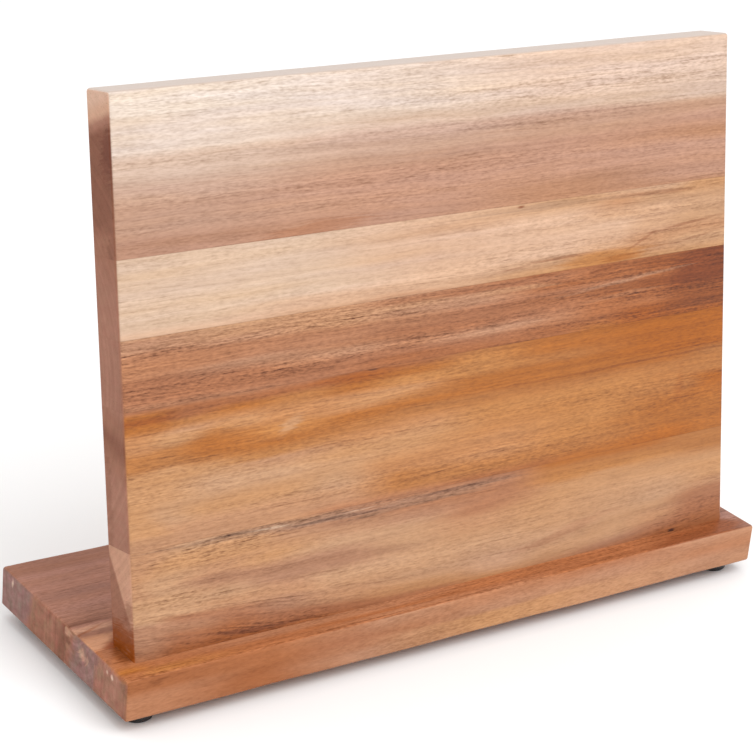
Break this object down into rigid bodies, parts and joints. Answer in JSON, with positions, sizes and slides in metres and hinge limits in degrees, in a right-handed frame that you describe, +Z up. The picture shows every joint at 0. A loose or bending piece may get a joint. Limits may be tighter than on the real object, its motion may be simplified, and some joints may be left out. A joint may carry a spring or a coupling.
{
  "type": "magnetic knife stand",
  "caption": "Magnetic knife stand: a wide board of glued acacia staves leans back on a low rectangular base with rubber feet.",
  "frame": {"origin": "middle of the footprint, at the level of the surface the feet stand on", "axes": "+X along the board's width, +Y towards the back, +Z up"},
  "size_m": [0.319, 0.105, 0.2362],
  "materials": {
    "acacia_top": "acacia, cream sapwood above pinkish brown, clear satin lacquer",
    "acacia_upper": "acacia, pale peach, clear satin lacquer",
    "acacia_centre": "acacia, brown heartwood with mauve bands, clear satin lacquer",
    "acacia_lower": "acacia, orange brown, clear satin lacquer",
    "acacia_bottom": "acacia, tan, clear satin lacquer",
    "acacia_front": "acacia, orange brown, clear satin lacquer",
    "acacia_middle": "acacia, brown with a pale patch, clear satin lacquer",
    "acacia_back": "acacia, mauve-brown heartwood, clear satin lacquer",
    "magnet_nickel": "nickel-plated bar magnet, hidden in the board",
    "zinc_steel": "bright zinc-plated steel screw",
    "beech": "bare beech dowel, hidden in the joint",
    "dark_rubber": "near-black rubber, slightly glossy"
  },
  "bodies": {
    "root": {"board_stave_top": "acacia_top", "board_stave_upper": "acacia_upper", "board_stave_centre": "acacia_centre", "board_stave_lower": "acacia_lower", "board_stave_bottom": "acacia_bottom", "base_stave_front": "acacia_front", "base_stave_middle": "acacia_middle", "base_stave_back": "acacia_back", "magnet_upper_1": "magnet_nickel", "magnet_upper_2": "magnet_nickel", "magnet_upper_3": "magnet_nickel", "magnet_upper_4": "magnet_nickel", "magnet_upper_5": "magnet_nickel", "magnet_upper_6": "magnet_nickel", "magnet_lower_1": "magnet_nickel", "magnet_lower_2": "magnet_nickel", "magnet_lower_3": "magnet_nickel", "magnet_lower_4": "magnet_nickel", "magnet_lower_5": "magnet_nickel", "magnet_lower_6": "magnet_nickel", "board_screw_1": "zinc_steel", "board_screw_2": "zinc_steel", "board_screw_3": "zinc_steel", "board_screw_4": "zinc_steel", "board_dowel_1": "beech", "board_dowel_2": "beech", "foot_front_left": "dark_rubber", "foot_front_right": "dark_rubber", "foot_back_left": "dark_rubber", "foot_back_right": "dark_rubber", "foot_screw_front_left": "zinc_steel", "foot_screw_front_right": "zinc_steel", "foot_screw_back_left": "zinc_steel", "foot_screw_back_right": "zinc_steel"}
  },
  "joints": []
}
